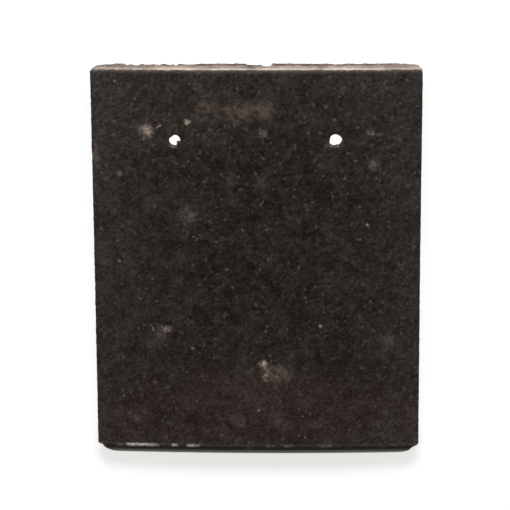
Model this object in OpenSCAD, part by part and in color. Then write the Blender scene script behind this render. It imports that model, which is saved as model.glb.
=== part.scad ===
// Concrete plain tile of the short pattern that is laid along eaves and top edges.
// One moulded piece: a cambered slab with a rounded nose along its tail, two nail holes
// near its head and two long nibs under the head that hook over a batten.
// It lies face up on its nibs and its tail, with its head toward +Y and its width along X.
// Millimetres, +Z up. The origin is on the floor, under the middle of the tile's box.

/* [Slab] */
// Width across the roof
tile_w = 165; // [130:1:220]
// Length down the slope, from the head to the tail, along the face
tile_l = 201; // [150:1:280]
// Thickness of the concrete, square to the face
tile_t = 12; // [10:0.5:16]

/* [Camber] */
// Radius of the face across the width
cross_r = 1135; // [800:5:2500]
// Radius of the face along the length
long_r = 3000; // [2200:50:9000]

/* [Edges] */
// Radius of the two long edges of the face
arris_r = 1.2; // [0.6:0.1:2]
// Radius of the nose, where the face turns down into the tail
nose_r = 3.8; // [2:0.1:5]
// Radius of the two dubbed tail corners, seen from above
dub_r = 10; // [10:0.5:16]
// Distance from each side to the centre of its dubbed corner
dub_in = 9.2; // [8:0.1:9.8]
// Radius of the two head corners, seen from above
head_corner_r = 2; // [1:0.5:3]

/* [Nibs] */
// Drop of the nibs below the long edges of the underside
nib_drop = 7; // [6:0.5:12]
// Length of a nib down the slope, from the head to the edge of its tip
nib_l = 13.5; // [9:0.5:20]
// Rounding of that edge
nib_round = 2; // [1:0.5:3]
// Lean of the nibs' batten faces and ends, in degrees
nib_draft = 12; // [5:1:20]
// Bare margin between each side of the tile and the tip of its nib
nib_margin = 4; // [3.5:0.5:12]
// Gap between the tips of the two nibs
nib_gap = 13; // [10:0.5:40]
// Place of the gap's middle, to the right of the tile's own
nib_gap_x = 1.2; // [-10:0.1:10]

/* [Nail holes] */
// Diameter of the two nail holes
hole_d = 6.2; // [5:0.1:9]
// Distance between the holes
hole_gauge = 80; // [60:0.5:100]
// Place of the pair's middle, to the right of the tile's own
hole_x = -1; // [-6:0.1:6]
// Distance from the head to the holes, down the slope
hole_from_head = 35.8; // [30:0.1:60]
// Widening of each hole at the face
mouth_extra = 1.4; // [0.6:0.1:3]
// Depth of the widened mouth
mouth_h = 1.6; // [0.8:0.1:3]

/* [Hidden] */
$fn = 96;
// Segments of the full circles that the cambers are arcs of
camber_fn = 1440;
// Overshoot of cuts past the surface that they open
over = 1;
// Angle at which a rounding meets the faces beside it, in degrees
crease = 4;

// Fall from the crown to a place x across, on an arc of the cross camber
function camber_fall(x, radius = cross_r) = cross_r - sqrt(radius * radius - x * x);

// Depths below the crown of the face: of the underside's long edges and the nibs' tips
edge_down = camber_fall(tile_w / 2, cross_r - tile_t);
tip_down = edge_down + nib_drop;
// Depth, inside the slab, where the nibs' drafted sides end
root_down = tile_t / 2;
// Ways along the face from its middle, to the head and to the start of the nose
head_s = tile_l / 2;
nose_s = nose_r - tile_l / 2;

// Angle of the face after a way along it from its middle
function slope_angle(s) = s / long_r * 180 / PI;

// Point y ahead of and z up from the crown of the face, s along it, in the tile's frame
function along(s, y, z) =
    let (a = slope_angle(s), r = long_r + z)
    [y * cos(a) + r * sin(a), r * cos(a) - y * sin(a) - long_r];

// Centre of the rounding on a nib's edge, ahead of the head
nib_round_y = -nib_l + nib_round * (1 - sin(nib_draft)) / cos(nib_draft);
// Turn from the tail to the lowest point of a dubbed corner, and that point's place across
foot_turn = min(45, asin(dub_in / dub_r));
foot_x = tile_w / 2 - dub_in + dub_r * sin(foot_turn);
// Where the tile meets the floor: the nibs' rounded edges, and the tail's corners
nib_foot = along(head_s, nib_round_y, nib_round - tip_down);
tail_foot = along(
    nose_s,
    dub_r * (1 - cos(foot_turn)) - nose_r,
    -camber_fall(foot_x, cross_r - tile_t)
);
// Tilt that puts both on the floor
reach = nib_foot - tail_foot;
rest_tilt = asin(nib_round / norm(reach)) - atan2(reach[1], reach[0]);

// Point of the tile's frame once the tile is tilted
function laid(p) = [
    p[0] * cos(rest_tilt) - p[1] * sin(rest_tilt),
    p[0] * sin(rest_tilt) + p[1] * cos(rest_tilt)
];

// Shift that brings the tilted tile's box over the origin, and its feet to the floor
back_y = laid(along(nose_s, 0, -nose_r))[0] - nose_r;
front_y = laid(along(head_s, 0, -tip_down))[0];
rest_y = -(back_y + front_y) / 2;
rest_z = -laid(tail_foot)[1];

// Moves children to a place along the face, square to it there
module at_slope(s) {
    translate([0, 0, -long_r])
        rotate([-slope_angle(s), 0, 0])
            translate([0, 0, long_r])
                children();
}

// Wedge between two directions from a circle's centre, less the circle: it rounds a corner
module corner_waste(radius, from, to) {
    middle = (from + to) / 2;
    difference() {
        polygon([
            [0, 0],
            2 * radius * [cos(from), sin(from)],
            3 * radius * [cos(middle), sin(middle)],
            2 * radius * [cos(to), sin(to)]
        ]);
        circle(radius / cos(crease));
    }
}

// Rounds the two upright corners whose circles lie inset from the sides, and y ahead
module side_corners(radius, inset, y, from, to) {
    for (side = [0, 1])
        mirror([side, 0, 0])
            translate([tile_w / 2 - inset, y, -edge_down - over])
                linear_extrude(edge_down + 2 * over)
                    corner_waste(radius, from, to);
}

// Cross-section of the slab, with the crown of the face at the origin
module slab_section() {
    inside_r = cross_r - arris_r;
    arris_x = tile_w / 2 - arris_r;
    difference() {
        intersection() {
            translate([0, -cross_r])
                circle(cross_r, $fn = camber_fn);
            translate([-tile_w / 2, -edge_down - over])
                square([tile_w, edge_down + 2 * over]);
        }
        translate([0, -cross_r])
            circle(cross_r - tile_t, $fn = camber_fn);
        for (side = [0, 1])
            mirror([side, 0])
                translate([arris_x, sqrt(inside_r * inside_r - arris_x * arris_x) - cross_r])
                    corner_waste(arris_r, 0, acos(arris_x / inside_r));
    }
}

// The slab from the start of the nose to past the head, swept along the long camber
module slab() {
    translate([0, 0, -long_r])
        rotate([0, -90, 0])
            rotate(slope_angle(nose_s))
                rotate_extrude(angle = slope_angle(head_s + over - nose_s), $fn = camber_fn)
                    translate([long_r, 0])
                        rotate(-90)
                            slab_section();
}

// Long section of the nose, from the axis of the cross camber
module nose_section() {
    translate([cross_r - tile_t, 0])
        square([tile_t - nose_r, nose_r]);
    translate([cross_r - nose_r, 0])
        intersection() {
            circle(nose_r);
            square(2 * nose_r);
        }
}

// The rounded nose along the tail, swept along the cross camber
module nose() {
    sweep = 2 * asin(tile_w / cross_r);
    intersection() {
        translate([0, 0, -cross_r])
            rotate([90, -90, 0])
                rotate(-sweep / 2)
                    rotate_extrude(angle = sweep, $fn = camber_fn)
                        nose_section();
        translate([-tile_w / 2, -nose_r - over, -edge_down - over])
            cube([tile_w, nose_r + 2 * over, edge_down + 2 * over]);
    }
}

// Section of a nib down the slope, from past the head back to the batten face
module nib_section() {
    taper = (tip_down - root_down) * tan(nib_draft);
    difference() {
        polygon([
            [over, -tip_down],
            [over, -root_down],
            [-nib_l - taper, -root_down],
            [-nib_l, -tip_down]
        ]);
        translate([nib_round_y, nib_round - tip_down])
            corner_waste(nib_round, 180 + nib_draft, 270);
    }
}

// Outline of a nib seen from the head, between the ends of its tip
module nib_outline(left, right) {
    taper = (tip_down - root_down) * tan(nib_draft);
    polygon([
        [left, -tip_down],
        [right, -tip_down],
        [right + taper, -root_down],
        [left - taper, -root_down]
    ]);
}

// The two nibs, to past the head
module nibs() {
    intersection() {
        rotate([90, 0, 90])
            linear_extrude(tile_w, center = true)
                nib_section();
        rotate([90, 0, 0])
            linear_extrude(4 * nib_l, center = true) {
                nib_outline(nib_margin - tile_w / 2, nib_gap_x - nib_gap / 2);
                nib_outline(nib_gap_x + nib_gap / 2, tile_w / 2 - nib_margin);
            }
    }
}

// Waste ahead of the head, which is cut square across the slab and the nibs together
module head_waste() {
    translate([-tile_w, 0, -tip_down - over])
        cube([2 * tile_w, 2 * over, tip_down + 2 * over]);
}

// A nail hole down from the face, with its mouth widened there
module nail_hole() {
    r = hole_d / 2;
    grow = mouth_extra / 2 / mouth_h;
    translate([0, 0, -edge_down - over])
        cylinder(h = edge_down + 2 * over, r = r);
    translate([0, 0, -mouth_h])
        cylinder(h = mouth_h + over, r1 = r, r2 = r + grow * (mouth_h + over));
}

// The whole tile, laid on the floor
module roof_tile() {
    color("dimgray")
        translate([0, rest_y, rest_z])
            rotate([rest_tilt, 0, 0])
                difference() {
                    union() {
                        slab();
                        at_slope(nose_s)
                            nose();
                        at_slope(head_s)
                            nibs();
                    }
                    at_slope(nose_s)
                        side_corners(dub_r, dub_in, dub_r - nose_r, -90, 0);
                    at_slope(head_s) {
                        head_waste();
                        side_corners(head_corner_r, head_corner_r, -head_corner_r, 0, 90);
                    }
                    for (x = [hole_x - hole_gauge / 2, hole_x + hole_gauge / 2])
                        at_slope(head_s - hole_from_head)
                            translate([x, 0, -camber_fall(x)])
                                nail_hole();
                }
}

roof_tile();
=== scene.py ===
"""A short concrete plain tile, laid face up on its nibs and its tail.

The tile is one closed mesh over the packed solid: two gridded sheets, the face and the underside,
joined by rows of points round the edges and down the nail holes, then worn by seeded noise.
Lengths are metres. Places on the tile are x across it, s along its face from the middle to the
head, and z up from the crown of the face.
"""

import math
from functools import reduce

import bpy
import numpy as np
from bpy.props import FloatProperty, FloatVectorProperty, IntProperty, PointerProperty
from mathutils import Matrix, Vector


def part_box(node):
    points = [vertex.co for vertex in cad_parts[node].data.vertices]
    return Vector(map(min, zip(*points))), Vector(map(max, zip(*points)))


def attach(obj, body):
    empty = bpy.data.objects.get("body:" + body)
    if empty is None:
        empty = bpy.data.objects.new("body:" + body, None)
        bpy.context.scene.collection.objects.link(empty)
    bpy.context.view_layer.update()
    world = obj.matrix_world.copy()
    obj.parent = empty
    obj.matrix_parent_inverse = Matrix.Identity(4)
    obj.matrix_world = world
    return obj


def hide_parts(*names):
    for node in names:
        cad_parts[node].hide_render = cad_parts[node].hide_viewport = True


bl_info = {
    "name": "Concrete plain tile",
    "version": (1, 0, 0),
    "blender": (4, 5, 0),
    "location": "3D View > Sidebar > Plain tile",
    "description": "A sand-faced concrete plain tile for eaves and top edges, on a pale floor",
    "category": "Add Mesh",
}

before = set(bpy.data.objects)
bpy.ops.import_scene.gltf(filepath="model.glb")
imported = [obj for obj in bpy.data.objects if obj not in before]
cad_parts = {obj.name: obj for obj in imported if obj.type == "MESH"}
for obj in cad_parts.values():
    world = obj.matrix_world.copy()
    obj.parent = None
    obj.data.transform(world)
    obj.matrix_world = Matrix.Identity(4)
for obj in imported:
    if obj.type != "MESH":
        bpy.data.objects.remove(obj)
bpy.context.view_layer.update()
LOW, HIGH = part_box("roof_tile")
MM = 0.001
MOST_TRIANGLES = 200_000  # of the tile's mesh


# ---------------------------------------------------------------- settings


def paint(red, green, blue):
    """A colour as it looks on a screen, each part from 0 to 255, made linear."""
    parts = [part / 255 for part in (red, green, blue)]
    return tuple(p / 12.92 if p <= 0.04045 else ((p + 0.055) / 1.055) ** 2.4 for p in parts)


def setting(name, description, default, kind=FloatProperty, **more):
    """A setting that a user may change."""
    return kind(name=name, description=description, default=default, **more)


def length(*basics, low=0.0, high=10.0):
    """A setting in metres, from its name, description and default."""
    return setting(*basics, min=low, max=high, precision=5, unit="LENGTH", subtype="DISTANCE")


def angle(name, description, degrees):
    """A setting for an angle, with its default in degrees."""
    return setting(name, description, math.radians(degrees), unit="ROTATION", subtype="ANGLE")


def level(*basics):
    """A setting from 0 to 1, from its name, description and default."""
    return setting(*basics, min=0.0, max=1.0, subtype="FACTOR")


def colour(*basics):
    """A setting for a linear colour, from its name, description and default."""
    return setting(*basics, FloatVectorProperty, min=0.0, max=1.0, size=3, subtype="COLOR")


class TileSizes(bpy.types.PropertyGroup):
    """Sizes of the tile: the solid's, but for the nose, the nibs' ends and the holes' place"""

    width: length("Width", "Width across the roof", HIGH.x - LOW.x, low=0.1, high=0.4)
    long: length("Length", "Length down the slope, along the face", 0.201, low=0.1, high=0.5)
    thick: length("Thickness", "Thickness of the concrete", 0.012, low=0.005, high=0.03)
    cross_radius: length("Cross camber", "Radius of the face across the width", 1.135, low=0.5)
    long_radius: length("Long camber", "Radius of the face along the length", 3.0, low=0.5)
    arris: length("Arris", "Radius of the two long edges of the face", 0.0012)
    nose: length("Nose", "Radius of the nose along the tail", 0.0032)
    dub_radius: length("Dubbed corner", "Radius of the tail corners in plan", 0.010)
    dub_inset: length("Dub inset", "Distance from a side to its dubbed corner's centre", 0.0092)
    head_corner: length("Head corner", "Radius of the head corners in plan", 0.002)
    nib_drop: length("Nib drop", "Drop of the nibs below the underside's long edges", 0.007)
    nib_long: length("Nib length", "Length of a nib's tip down the slope", 0.0135)
    nib_round: length("Nib rounding", "Rounding of a nib's batten edge", 0.002)
    nib_draft: angle("Nib draft", "Lean of the nibs' batten faces and ends", 12.0)
    nib_margin: length("Nib margin", "Bare margin beside each nib's tip", 0.0014)
    nib_gap: length("Nib gap", "Gap between the tips of the two nibs", 0.013)
    nib_gap_x: length("Gap's middle", "Place of that gap's middle across", 0.0012, low=-0.05)
    bore: length("Nail hole", "Narrowest width of the two nail holes", 0.0062)
    gauge: length("Gauge", "Distance between the nail holes", 0.080)
    holes_x: length("Holes' middle", "Place of the pair's middle across", -0.00078, low=-0.05)
    head_to_holes: length("Head to holes", "Distance from the head to the holes", 0.0358)
    mouth_extra: length("Mouth", "Widening of each hole at the face", 0.0014)
    mouth_deep: length("Mouth depth", "Depth of the widened mouth", 0.0016)


class TileWear(bpy.types.PropertyGroup):
    """Roughness and damage, all cut into the solid's surfaces"""

    pitch: length("Pitch", "Distance between the mesh's points", 0.00099, low=0.0005, high=0.01)
    grit: length("Grit", "Depth between the granules of the face", 0.00016)
    raw_grit: length("Raw grit", "Roughness of the cut head and the nibs", 0.0006)
    waist: length("Waist", "Hollow of each long side, halfway", 0.00025)
    wave: length("Wave", "Unevenness of the long edges", 0.00012)
    crumble: length("Crumble", "Loss along the arrises", 0.0004)
    nib_loss: length("Nib loss", "Loss along the lower edge of the nibs at the head", 0.0010)
    nib_break: length("Nib break", "Height broken off that edge of the left nib", 0.0017)
    flash: length("Flash", "Drop of the ragged fill between the nibs", 0.0057)
    corner_reach: length("Tail corners", "Reach of their loss from the tail", 0.014)
    chip: length("Chips", "Depth of the chips along the tail arris", 0.0007)
    chip_up: length("Chips' line", "Distance from the tail up to the chips", 0.0051)
    slick_up: length("Slick's line", "Distance from the tail up to the edge of the skin", 0.0052)
    burst: length("Burst", "Widening of each hole where the pin broke out below", 0.0030)
    burst_deep: length("Burst depth", "Height of the burst above the underside", 0.0070)
    seed: setting("Seed", "Seed of the wear", 7, IntProperty, min=0)


class TileColours(bpy.types.PropertyGroup):
    """Colours of the sand-faced skin and of the concrete under it"""

    dark: colour("Dark granules", "Darkest granules of the sanded face", paint(17.9, 11.8, 5.3))
    light: colour("Light granules", "Palest granules of the sanded face", paint(82.6, 76.1, 72.0))
    maroon: colour("Maroon", "Stain of the face toward the tail", paint(90, 28, 34))
    # haze: pale granules near the edges and the head, partly wear and partly painted light for the
    # glare there; also the colour of the painted glints, and darkened inside the nail holes
    haze: colour("Haze", "Worn granules toward the edges", paint(107, 98.5, 92))
    dust: colour("Dust", "Brown dust rubbed into the face", paint(120, 106, 95))
    lime: colour("Lime", "Lime in the scuffs and chips", paint(198, 180, 164))
    mauve: colour("Mauve", "Mauve lime of the fainter scuffs", paint(197, 176, 173))
    # the slick nose's dark colour is partly painted shade, and the paler colour below it is a
    # painted reflection of the pale floor
    slick: colour("Slick nose", "The smooth nose along the tail", paint(21, 19, 17))
    nose_reflection: colour("Faded nose", "The paler lower part of the nose", paint(151, 146, 138))
    bare: colour("Bare chips", "Fresh concrete in the chips along the tail", paint(206, 200, 194))
    raw: colour("Raw concrete", "The cut face of the head", paint(198, 182, 170))
    nib: colour("Nib", "Ends of the nibs", paint(165, 148, 136))
    crumb: colour("Crumbs", "Brown crumbs on the nibs and in the holes", paint(112, 90, 76))
    under: colour("Underside", "The moulded underside", paint(112, 102, 94))


class StageSettings(bpy.types.PropertyGroup):
    """Camera, lamp and floor"""

    floor: colour("Floor", "Colour of the floor", (0.93, 0.93, 0.93))
    glow: level("Glow", "Even part of the floor's look", 0.648)
    shade: level("Shade", "Part of the floor's look that takes the light and the shadows", 0.46)
    ambient: level("Ambient", "Light from all round", 0.35)
    key: setting("Key", "Lamp beyond the head", 17.3, min=0.0, unit="POWER")
    key_away: length("Key's distance", "From the lamp to the tile's middle", 1.4)
    key_rise: angle("Key's rise", "Height of the lamp above the floor", 45.0)
    key_swing: angle("Key's swing", "Turn of the lamp from the head toward the right", 2.0)
    lens: setting("Lens", "Focal length", 183.0, min=10.0, unit="CAMERA")
    distance: length("Distance", "From the camera to the tile's middle", 1.3008)
    lean: angle("Lean", "Angle between the view and the upright, toward the head", 13.559)
    aside: length("Aside", "Place of the camera to the right of the middle", 0.03639, low=-1.0)
    aim_x: length("Aim across", "Place that the camera looks at, across", -0.00088, low=-1.0)
    aim_y: length("Aim along", "Place that the camera looks at, toward the head", 0.0064, low=-1.0)
    roll: angle("Roll", "Turn of the camera round its own view", -0.255)


# ---------------------------------------------------------------- shape


FILL_ENDS = (-0.25, 1.1)  # ends of the fill between the nibs, as shares of their gap
FILL_STEP = 0.68  # share of the gap at which the fill steps down
FILL_LOW = 0.3  # its height past that step, against before it
FILL_BACK = 8 * MM  # how far it reaches behind the head

EDGE_LOSS = (  # share of the nibs' edge lost at the head, at places across in millimetres
    (-70.0, 0.4),
    (-62.0, 1.0),
    (-46.0, 1.0),
    (-26.0, 0.0),
    (70.0, 0.0),
    (74.0, 0.6),
)
EDGE_DIP = (41.0, 8.0, 0.4)  # a dip more: its middle, its reach and its share
EDGE_ENDS = (78.0, 82.0, 1.4)  # a break more at both ends: from, to, and its share
EDGE_BACK = 4.5 * MM  # how far the loss reaches behind the head

TAIL_LOSS = {  # off the tail corner of each side: pairs of in from the side and up, in millimetres
    -1: ((0.0, 5.6), (0.8, 5.1), (2.7, 4.6), (3.4, 3.4), (5.0, 2.2), (8.5, 0.8), (12.0, 0.0)),
    1: (
        (0.0, 5.8),
        (0.7, 4.9),
        (1.6, 4.5),
        (3.2, 3.9),
        (4.2, 2.9),
        (5.3, 1.9),
        (7.0, 1.2),
        (9.0, 0.6),
        (13.0, 0.0),
    ),
}

THROAT = (0.3, 0.4)  # middle and reach of a hole's ragged rim, as shares of the thickness
# Widening of each side's ragged rim, in millimetres: all round, and by lobes of an angle, a width
# in degrees and an amount
HOLE_RIMS = {
    -1: (
        -0.25,
        ((132, 32, -0.8), (-42, 20, -1.6), (40, 25, -0.2), (90, 30, -0.25), (-105, 35, 0.25)),
    ),
    1: (-0.1, ((-80, 9, -0.6), (5, 30, 0.4), (170, 28, -0.5), (220, 16, 0.3))),
}

HOLE_BLOCK = 3.6 * MM  # half of the square of grid round each nail hole
HOLE_CELLS = 8  # its cells each way
HOLE_TURNED = 9.5 * MM  # how far from its middle the grid is turned to the hole's circle
HOLE_ROWS = 13  # rows of quads down each hole
HOLE_OUTER, HOLE_INNER = 5.0 * MM, 3.8 * MM  # from a hole's middle, where its mark fades in
RIM_ROWS = 20  # rows of quads from the face round to the underside
NOSE_ROWS = 6  # rows of quads over the nose
ARRIS_COLUMNS = 4  # columns of quads over each long arris
NIB_LINES = 6  # cells over each drafted side of the nibs
ROUND_LINES = 4  # cells over the rounding of the nibs' batten edge
NIB_FLANK = 1.9 * MM  # how far the nibs' drafted outer ends spread
FLANK_CELL = 0.4 * MM  # cell of the grid over them
LAP = 0.1 * MM  # how far before a nib's end those finer columns start
HEAD_MARGIN = 0.6 * MM  # strip of finer grid behind the head

CHIPS = (  # along the tail arris: from x, to x in millimetres, and strength
    (-72.5, -68.0, 0.07),
    (-68.0, -60.0, 0.82),
    (-60.5, -51.5, 0.58),
    (-44.0, -41.5, 0.6),
    (-36.5, -30.5, 0.45),
    (4.5, 7.5, 0.09),
    (13.5, 18.0, 0.09),
    (30.5, 37.5, 0.12),
    (68.5, 71.5, 0.05),
)

# Large odd numbers that scatter the noise's bits, the bits that it keeps, and those that it gives
SCATTER = (73856093, 19349663, 83492791, 2654435761, 2246822519, 3266489917)
KEPT_BITS, GIVEN_BITS = 0xFFFFFFFF, 0xFFFFFF
NOISE_CELLS = (1.5 * MM, 3.4 * MM, 11 * MM, 38 * MM)  # of the wear: fine, lump, broad and wide
CUT_START, CUT_FULL = 1.2 * MM, 0.2 * MM  # behind the head, where the cut's grit fades in
NIB_START, NIB_FULL = 3.0 * MM, 1.0 * MM  # behind the nibs' tips, the same for their grit
NOSE_START, NOSE_FULL = 0.3 * MM, -0.9 * MM  # up from its line, the same for the slick nose
WAVE_REACH = 3.0 * MM  # from an edge, of its unevenness
ARRIS_REACH = 0.7 * MM  # of its crumbling
TIP_REACH = 1.3 * MM  # of the loss along the nibs' edge
CHIP_REACH = 0.8 * MM  # of the chips, from their line
LEFT_REACH = 25.0 * MM  # how far left of the middle the nibs' edge is worn in full
ON_EDGE = 1e-5  # a point nearer to the edge than this is on the rows that go round it
SKIM = 0.01 * MM  # what every point goes in besides
CLEAR = 1e-6  # how far the tile stays inside the solid's box


def ramp(values, low, high):
    """0 at low, 1 at high and a straight line between them; low may be the greater."""
    return np.clip((values - low) / (high - low), 0, 1)


def hump(values, middle, reach):
    """1 at the middle: e to the power of minus the square of the distance over the reach."""
    return np.exp(-(((values - middle) / reach) ** 2))


def table(values, pairs):
    """The second numbers of the pairs at values of the first, on straight lines between them."""
    return np.interp(values, *zip(*pairs))


class Form:
    """The tile's surfaces as functions of x and s, with the tilt and shift at which it lies."""

    def __init__(self, sizes):
        self.sizes = sizes
        self.half = sizes.width / 2
        self.head = sizes.long / 2
        self.nose_s = sizes.nose - self.head
        self.tip_down = self.slab_fall(self.half) + sizes.nib_drop
        draft = sizes.nib_draft
        self.lean = math.tan(draft)
        self.spread = (self.tip_down - sizes.thick) * self.lean
        self.round_y = -sizes.nib_long + sizes.nib_round * (1 - math.sin(draft)) / math.cos(draft)
        self.round_reach = sizes.nib_round * math.cos(draft)

        # the tilt and shift that put the nibs' rounded edges and the tail's corners on the floor
        turn = min(math.pi / 4, math.asin(sizes.dub_inset / sizes.dub_radius))
        foot_x = self.half - sizes.dub_inset + sizes.dub_radius * math.sin(turn)
        foot_y = sizes.dub_radius * (1 - math.cos(turn)) - sizes.nose
        nib_foot = self.along(self.head, self.round_y, sizes.nib_round - self.tip_down)
        tail_foot = self.along(self.nose_s, foot_y, -self.slab_fall(foot_x))
        run, rise = nib_foot[0] - tail_foot[0], nib_foot[1] - tail_foot[1]
        self.tilt = math.asin(sizes.nib_round / math.hypot(run, rise)) - math.atan2(rise, run)
        back = self.laid(*self.along(self.nose_s, 0, -sizes.nose))[0] - sizes.nose
        front = self.laid(*self.along(self.head, 0, -self.tip_down))[0]
        self.shift = (-(back + front) / 2, -self.laid(*tail_foot)[1])

    def fall(self, x, radius=None):
        """Fall from the crown: the cross radius less the height of a circle of radius at x."""
        radius = radius or self.sizes.cross_radius
        return self.sizes.cross_radius - np.sqrt(radius * radius - x * x)

    def slab_fall(self, x):
        """Fall to the slab's underside, whose circle has the cross radius less the thickness."""
        return self.fall(x, self.sizes.cross_radius - self.sizes.thick)

    def along(self, s, y, z):
        """Point y ahead of and z above the crown at s: turned by s over the long radius."""
        turn, reach = s / self.sizes.long_radius, self.sizes.long_radius + z
        return (
            y * math.cos(turn) + reach * math.sin(turn),
            reach * math.cos(turn) - y * math.sin(turn) - self.sizes.long_radius,
        )

    def laid(self, y, z):
        """The pair y and z turned by the tilt."""
        c, s = math.cos(self.tilt), math.sin(self.tilt)
        return y * c - z * s, y * s + z * c

    def points(self, x, s, z):
        """Places on the floor frame: the long radius plus z, carried round by s over the long
        radius, then turned by the tilt and shifted over the origin."""
        reach, turn = self.sizes.long_radius + z, s / self.sizes.long_radius
        y, up = self.laid(reach * np.sin(turn), reach * np.cos(turn) - self.sizes.long_radius)
        return np.stack([x, y + self.shift[0], up + self.shift[1]], -1)

    def face(self, x, s):
        """Face: minus the camber's fall, less a quarter round at the tail and the long edges."""
        nose, arris = self.sizes.nose, self.sizes.arris
        past = np.clip(self.nose_s - s, 0, nose)
        out = np.clip(np.abs(x) - self.half + arris, 0, arris)
        round_off = nose - np.sqrt(nose**2 - past**2) + arris - np.sqrt(arris**2 - out**2)
        return -self.fall(x) - round_off

    def underside(self, x, s):
        """Underside: the slab's, or the lowest of a nib's tip, batten face and ends, where that
        is lower."""
        sizes = self.sizes
        ahead = s - self.head
        tip = -self.tip_down + ahead**2 / (2 * sizes.long_radius)
        away = np.clip(self.round_y - ahead, 0, self.round_reach)
        edge = tip + sizes.nib_round - np.sqrt(sizes.nib_round**2 - away**2)
        batten = np.where(
            ahead < self.round_y - self.round_reach,
            -self.tip_down - (sizes.nib_long + ahead) / self.lean,
            edge,
        )
        ends = np.minimum(*(np.maximum(left - x, x - right) for left, right in self.nib_spans()))
        nib = np.maximum(batten, -self.tip_down + np.maximum(ends, 0) / self.lean)
        return np.minimum(-self.slab_fall(x), nib)

    def worn_underside(self, x, s, wear):
        """Underside with the nibs' edge broken up to the slab, and the fill below the slab."""
        slab = -self.slab_fall(x)
        broken = self.underside(x, s) + wear.nib_break * self.broken_edge(x, s)
        return np.minimum(np.minimum(broken, slab), slab - wear.flash * self.fill(x, s))

    def fill(self, x, s):
        """Share of the fill's drop: 1 over most of the gap between the nibs and less over the
        rest, less the square of the distance behind the head over its reach."""
        (_, left), (right, _) = self.nib_spans()
        share = (x - left) / (right - left)
        inside = (share > FILL_ENDS[0]) & (share < FILL_ENDS[1])
        high = np.where(share < FILL_STEP, 1.0, FILL_LOW) * inside
        return high * (1 - ramp(self.head - s, 0, FILL_BACK) ** 2)

    def broken_edge(self, x, s):
        """Share of the nibs' edge lost: the table's at x, with the dip's hump and the square of
        the ends' ramps, less with the distance behind the head."""
        x = x / MM
        (middle, reach, dip), (start, stop, end) = EDGE_DIP, EDGE_ENDS
        lost = table(x, EDGE_LOSS) + dip * hump(x, middle, reach)
        lost = lost + end * ramp(np.abs(x), start, stop) ** 2
        return lost * ramp(self.head - s, EDGE_BACK, 0)

    def nib_spans(self):
        """The ends of each nib's tip across."""
        sizes = self.sizes
        outer = self.half - sizes.nib_margin
        return (
            (-outer, sizes.nib_gap_x - sizes.nib_gap / 2),
            (sizes.nib_gap_x + sizes.nib_gap / 2, outer),
        )

    def holes(self):
        """The middles of the nail holes, as pairs of x and s."""
        s = self.head - self.sizes.head_to_holes
        return [(self.sizes.holes_x + side * self.sizes.gauge / 2, s) for side in (-1, 1)]


def grid_lines(pitch, first, *spans):
    """Places of grid lines: from first, each span runs to its end in so many even steps, or in
    steps of about the pitch where the number is 0."""
    places = [np.array([first])]
    for end, count in spans:
        start = places[-1][-1]
        count = count or max(1, round(abs(end - start) / pitch))
        places.append(np.linspace(start, end, count + 1)[1:])
    return np.concatenate(places)


def quarter(count):
    """Sines of even steps of a quarter turn, from 0 to 1."""
    return np.sin(np.linspace(0, math.pi / 2, count + 1))


def columns(form, pitch):
    """Places of the grid's lines across, closer at the nibs' ends, the holes and the arrises."""
    sizes = form.sizes
    (left, _), (right, _) = form.holes()
    (_, gap_left), (gap_right, outer) = form.nib_spans()
    edge = form.half - sizes.arris
    shoulder = min(outer + NIB_FLANK, edge - LAP)
    flank = 1 + round((shoulder - outer) / FLANK_CELL)
    xs = grid_lines(
        pitch,
        -edge,
        (-shoulder, 0),
        (-outer + LAP, flank),
        (left - HOLE_BLOCK, 0),
        (left + HOLE_BLOCK, HOLE_CELLS),
        (gap_left - 2 * LAP, 0),
        (gap_left + form.spread, NIB_LINES),
        (gap_right - form.spread, 0),
        (gap_right + 2 * LAP, NIB_LINES),
        (right - HOLE_BLOCK, 0),
        (right + HOLE_BLOCK, HOLE_CELLS),
        (outer - LAP, 0),
        (shoulder, flank),
        (edge, 0),
    )
    bend = sizes.arris * quarter(ARRIS_COLUMNS)
    return np.concatenate([-(edge + bend[:0:-1]), xs, edge + bend[1:]])


def rows(form, pitch):
    """Places of the grid's lines along, closer at the nose, the holes, the nibs and the head."""
    sizes = form.sizes
    hole_s = form.head - sizes.head_to_holes
    ss = grid_lines(
        pitch,
        form.nose_s,
        (hole_s - HOLE_BLOCK, 0),
        (hole_s + HOLE_BLOCK, HOLE_CELLS),
        (form.head - sizes.nib_long - form.spread, 0),
        (form.head + form.round_y - form.round_reach, NIB_LINES),
        (form.head + form.round_y, ROUND_LINES),
        (form.head - HEAD_MARGIN, 0),
        (form.head, 2),
    )
    return np.concatenate([form.nose_s - sizes.nose * quarter(NOSE_ROWS)[:0:-1], ss])


def hole_blocks(form, xs, ss):
    """The square of grid round each nail hole, as slices of the rows and of the columns."""

    def run(lines, middle):
        start = int(np.argmin(np.abs(lines - (middle - HOLE_BLOCK))))
        return slice(start, start + HOLE_CELLS + 1)

    return [(run(ss, s), run(xs, x)) for x, s in form.holes()]


def head_corners(form, x, s):
    """Pulls the grid's two head corners in to their arcs: along each ray from the arc's centre, a
    point comes in by the share that its ray's end does, times the square of how far out it is."""
    radius = form.sizes.head_corner
    x, s = x.copy(), s.copy()
    for side in (-1, 1):
        p = (x * side - form.half + radius) / radius
        q = (s - form.head + radius) / radius
        inside = (p > 0) & (q > 0)
        far = np.maximum(p, q)[inside]
        reach = np.hypot(p[inside], q[inside]) / far
        keep = 1 - (1 - np.minimum(1, 1 / reach)) * far**2
        x[inside] = side * (form.half - radius + radius * p[inside] * keep)
        s[inside] = form.head - radius + radius * q[inside] * keep
    return x, s


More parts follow.
